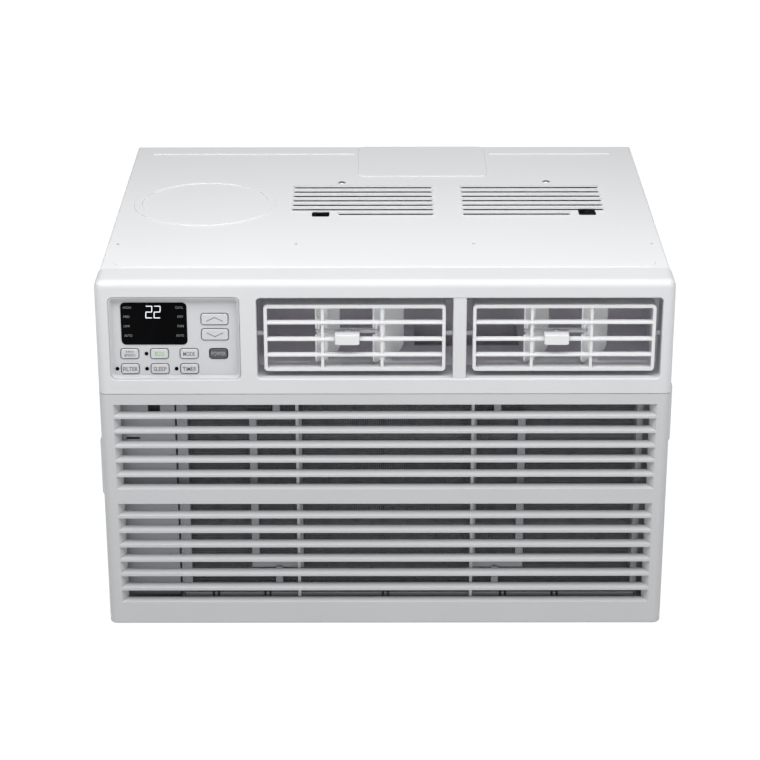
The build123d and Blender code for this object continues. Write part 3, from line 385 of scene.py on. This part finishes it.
class Solid:
    """Collects vertices and faces of several closed shapes for one mesh."""

    def __init__(self):
        self.vertices = []
        self.faces = []

    def loft(self, rings):
        """Joins rings of equal length, capped at both ends."""
        base = len(self.vertices)
        count = len(rings[0])
        last = base + (len(rings) - 1) * count
        for ring in rings:
            self.vertices.extend(ring)
        for low in range(base, last, count):
            high = low + count
            for i in range(count):
                j = (i + 1) % count
                self.faces.append((low + i, low + j, high + j, high + i))
        self.faces.append(tuple(base + i for i in reversed(range(count))))
        self.faces.append(tuple(last + i for i in range(count)))

    def bar(self, outline, depth):
        """Prism from an (x, z) outline that runs through the (low, high) depth in y."""
        self.loft([[(x, y, z) for x, z in outline] for y in reversed(depth)])


INK = 0.04 * MM
LETTER_STEPS = 3
LETTER_WEIGHT = 0.012


def word(name, text, centre, size, material, body):
    """Raised print: text fitted to a width and height, facing the room."""
    curve = bpy.data.curves.new(name + "_curve", "FONT")
    curve.body = text
    curve.resolution_u = LETTER_STEPS
    curve.offset = LETTER_WEIGHT
    flat = bpy.data.objects.new(name + "_flat", curve)
    bpy.context.collection.objects.link(flat)
    bpy.context.view_layer.update()
    outline = bpy.data.meshes.new_from_object(flat)
    bpy.data.objects.remove(flat)
    bpy.data.curves.remove(curve)
    xs = [v.co.x for v in outline.vertices]
    ys = [v.co.y for v in outline.vertices]
    scale = (size[0] / (max(xs) - min(xs)), size[1] / (max(ys) - min(ys)))
    middle = ((max(xs) + min(xs)) / 2, (max(ys) + min(ys)) / 2)
    for vertex in outline.vertices:
        across = (vertex.co.x - middle[0]) * scale[0]
        up = (vertex.co.y - middle[1]) * scale[1]
        vertex.co = (centre[0] + across, centre[1], centre[2] + up)
    shape = bmesh.new()
    shape.from_mesh(outline)
    grown = bmesh.ops.extrude_face_region(shape, geom=list(shape.faces))["geom"]
    moved = [part for part in grown if isinstance(part, bmesh.types.BMVert)]
    bmesh.ops.translate(shape, vec=(0, INK, 0), verts=moved)
    bmesh.ops.recalc_face_normals(shape, faces=shape.faces)
    shape.to_mesh(outline)
    shape.free()
    outline.name = name
    outline.materials.append(material)
    piece = bpy.data.objects.new(name, outline)
    bpy.context.collection.objects.link(piece)
    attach(piece, body)


# Each key's words: text, place across and up from the key's centre, width and height, in mm.
LEGENDS = {
    "button_fan_speed": (("FAN", 0.0, 2.4, 7.6, 2.3), ("SPEED", 0.0, -1.3, 10.8, 2.6)),
    "button_eco": (("ECO", 0.0, 0.2, 8.7, 4.0),),
    "button_mode": (("MODE", 0.0, 0.0, 11.4, 4.2),),
    "button_power": (("POWER", 0.0, 0.2, 14.2, 4.3),),
    "button_filter": (("FILTER", 0.0, 0.0, 14.2, 4.3),),
    "button_sleep": (("SLEEP", 0.0, 0.0, 12.8, 4.3),),
    "button_timer": (("TIMER", 0.0, 0.0, 13.2, 4.3),),
}


def add_legends():
    """Words on the keys and arrows on the two arrow keys."""
    grey = print_ink("legend_grey", (0.11, 0.11, 0.12))
    green = print_ink("legend_green", (0.20, 0.42, 0.10))
    pale = print_ink("legend_pale", (0.26, 0.26, 0.28))
    inks = {"button_eco": green, "button_power": pale}
    for node, lines in LEGENDS.items():
        middle = part_centre(node)
        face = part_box(node)[0][1] - INK
        for text, across, up, width, height in lines:
            centre = (middle.x + across * MM, face, middle.z + up * MM)
            size = (width * MM, height * MM)
            word(f"legend_{text.lower()}", text, centre, size, inks.get(node, grey), node)
    for node, way in (("button_up", 1), ("button_down", -1)):
        middle = part_centre(node)
        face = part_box(node)[0][1] - INK
        chevron(f"{node}_chevron", middle, face, way, grey, node)


CHEVRON_HALF = 8.0 * MM
CHEVRON_RISE = 2.4 * MM
CHEVRON_STROKE = 0.9 * MM


def chevron(name, middle, face, way, material, body):
    """Two printed strokes that meet at the top, or at the foot where way is -1."""
    half, rise, stroke = CHEVRON_HALF, CHEVRON_RISE, CHEVRON_STROKE
    outline = [(-half, -rise), (0, rise - stroke), (half, -rise)]
    outline += [(half, stroke - rise), (0, rise), (-half, stroke - rise)]
    placed = [(middle.x + x, middle.z + way * z) for x, z in outline]
    left = [placed[i] for i in (0, 1, 4, 5)]
    right = [placed[i] for i in (1, 2, 3, 4)]
    solid = Solid()
    for quad in (left, right):
        solid.bar(quad, (face, face + INK))
    add_piece(name, solid.vertices, solid.faces, material, body)


# The display, measured from the lens's top left corner.
DIGIT_WIDTH = 6.5 * MM
DIGIT_HEIGHT = 12.9 * MM
DIGIT_STROKE = 0.8 * MM
DIGIT_GAP = 0.12 * MM
DIGIT_LEAN = 0.05
DIGIT_LEFT = 24.0 * MM
DIGIT_PITCH = 8.0 * MM
DIGIT_FOOT = 16.0 * MM
TWO = ("top", "upper_right", "middle", "lower_left", "bottom")
WORD_DROPS = (5.0 * MM, 14.4 * MM, 24.2 * MM, 34.0 * MM)
WORD_HEIGHT = 2.4 * MM
LETTER_PITCH = 1.9 * MM
LETTER_SPARE = 0.2 * MM
WORDS_LEFT = 2.8 * MM
WORDS_RIGHT = 3.2 * MM


def add_display():
    """Two lit seven-segment digits and the dim function words on the lens."""
    low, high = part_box("display_window")
    face = low[1] - INK
    lit = print_ink("lit_segment", (0.80, 0.83, 0.87), 0.3)
    dim = print_ink("dim_word", (0.16, 0.16, 0.17))
    for index in range(2):
        left = low[0] + DIGIT_LEFT + DIGIT_PITCH * index
        solid = Solid()
        for segment in TWO:
            solid.bar(segment_outline(segment, left, high[2] - DIGIT_FOOT), (face, face + INK))
        add_piece(f"digit_{index + 1}", solid.vertices, solid.faces, lit, "housing")
    columns = (("left", low[0] + WORDS_LEFT, 1, ("HIGH", "MED", "LOW", "AUTO")),
               ("right", high[0] - WORDS_RIGHT, -1, ("COOL", "DRY", "FAN", "AUTO")))
    for side, edge, inward, words in columns:
        for text, drop in zip(words, WORD_DROPS):
            size = (LETTER_PITCH * len(text) + LETTER_SPARE, WORD_HEIGHT)
            centre = (edge + inward * size[0] / 2, face, high[2] - drop)
            word(f"display_{text.lower()}_{side}", text, centre, size, dim, "housing")


def segment_outline(segment, left, foot):
    """Outline of one bar of a seven-segment digit, with its ends mitred."""
    stroke, gap = DIGIT_STROKE, DIGIT_GAP
    mitre = stroke / 2
    half = DIGIT_HEIGHT / 2
    levels = {"top": DIGIT_HEIGHT - stroke, "middle": half - mitre, "bottom": 0.0}
    if segment in levels:
        low = levels[segment]
        start, end = gap, DIGIT_WIDTH - gap
        shape = [(start + mitre, low), (end - mitre, low), (end, low + mitre)]
        shape += [(end - mitre, low + stroke), (start + mitre, low + stroke), (start, low + mitre)]
    else:
        side = DIGIT_WIDTH - stroke if segment.endswith("right") else 0.0
        low = half if segment.startswith("upper") else 0.0
        high = low + half
        shoulder = stroke * 0.7
        shape = [(side, low + shoulder), (side + mitre, low + gap), (side + stroke, low + shoulder)]
        shape += [(side + stroke, high - shoulder), (side + mitre, high - gap), (side, high - shoulder)]
    return [(left + x + DIGIT_LEAN * z, foot + z) for x, z in shape]


SCREEN_PITCH = 1.9 * MM
THREAD_HALF = 0.208 * MM


def add_screen():
    """Filter screen: a layer of upright threads against a layer of level ones."""
    low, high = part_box("filter_mesh")
    middle = (low[1] + high[1]) / 2
    front, back = middle - THREAD_HALF / 2, middle + THREAD_HALF / 2
    ring = square_ring(THREAD_HALF)
    solid = Solid()
    for x in spread(low[0], high[0], SCREEN_PITCH):
        solid.loft([[(x + a, front + b, z) for a, b in ring] for z in (low[2], high[2])])
    for z in spread(low[2], high[2], SCREEN_PITCH):
        solid.loft([[(x, back + b, z + a) for a, b in ring] for x in (high[0], low[0])])
    thread = woven_thread("screen_thread", (0.28, 0.285, 0.305))
    screen = add_piece("filter_screen", solid.vertices, solid.faces, thread, "grille")
    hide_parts("filter_mesh")


def spread(low, high, pitch):
    """Evenly spaced places between two edges, close to the pitch."""
    count = round((high - low) / pitch)
    return [low + (high - low) * (i + 0.5) / count for i in range(count)]


def square_ring(half):
    """Square standing on its corner."""
    return ((-half, 0), (0, -half), (half, 0), (0, half))


FIN_RIPPLES = 6
FIN_SWAY = 0.28 * MM
FIN_HALF = 0.09 * MM
COLLAR_RADIUS = 4.6 * MM
COLLAR_SIDES = 12
TUBE_PITCH = 25.0 * MM
TUBE_LAYERS = (0.25, 0.75)
ALUMINIUM = (0.62, 0.63, 0.64)


def add_fins(coil, pitch, metal):
    """Stack of thin rippled fins across the coil."""
    low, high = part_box(f"{coil}_fins")
    solid = Solid()
    for x in spread(low[0], high[0], pitch):
        rings = []
        for z in (low[2], high[2]):
            front, back = [], []
            for i in range(FIN_RIPPLES + 1):
                y = low[1] + (high[1] - low[1]) * i / FIN_RIPPLES
                sway = FIN_SWAY if i % 2 else -FIN_SWAY
                front.append((x + sway + FIN_HALF, y, z))
                back.append((x + sway - FIN_HALF, y, z))
            rings.append(front + back[::-1])
        solid.loft(rings)
    name = f"{coil}_fin_stack"
    stack = add_piece(name, solid.vertices, solid.faces, metal, "housing")
    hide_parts(f"{coil}_fins")


def add_collars(coil, first, rows, metal):
    """Collars of the fins, which wrap the straight runs of the coil's tubes."""
    low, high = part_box(f"{coil}_fins")
    turns = [2 * pi * i / COLLAR_SIDES for i in range(COLLAR_SIDES)]
    ring = [(COLLAR_RADIUS * cos(turn), COLLAR_RADIUS * sin(turn)) for turn in turns]
    solid = Solid()
    for share in TUBE_LAYERS:
        y = low[1] + (high[1] - low[1]) * share
        for row in range(rows):
            z = low[2] + first + TUBE_PITCH * row
            solid.loft([[(x, y + a, z + b) for a, b in ring] for x in (low[0], high[0])])
    name = f"{coil}_tube_collars"
    add_piece(name, solid.vertices, solid.faces, metal, "housing")


def add_coil(coil, pitch, first, rows, painted_shade_factor):
    """One coil: fins at a pitch and rows of tubes, the first at a height above its foot. The fin colour
    is scaled down by a factor, which paints shade on a coil that sits in shadow.
    """
    metal = fin_metal(f"{coil}_fin_sheet", tint(ALUMINIUM, painted_shade_factor))
    add_fins(coil, pitch, metal)
    add_collars(coil, first, rows, metal)


bpy.context.scene.view_settings.view_transform = "Standard"
add_camera()
add_world(0.1)
add_softbox("front_softbox", (0, -0.70, 1.25), (0, -0.15, 0.25), (2.2, 0.6), 25)
add_softbox("rear_softbox", (0, 0.9, 1.9), (0, 0.4, 0.2), (3.0, 1.6), 19)
add_softbox("front_fill", (0, -3.4, 1.0), (0, 0, 0.25), (2.4, 1.2), 12.5)
add_floor(1.0)
dress_nodes()
add_legends()
add_display()
add_screen()
# The evaporator's fins take half the aluminium colour: painted shade for the coil deep behind the
# screen.
add_coil("evaporator", 1.8 * MM, 10.0 * MM, 8, 0.5)
add_coil("condenser", 1.9 * MM, 12.0 * MM, 13, 1.0)
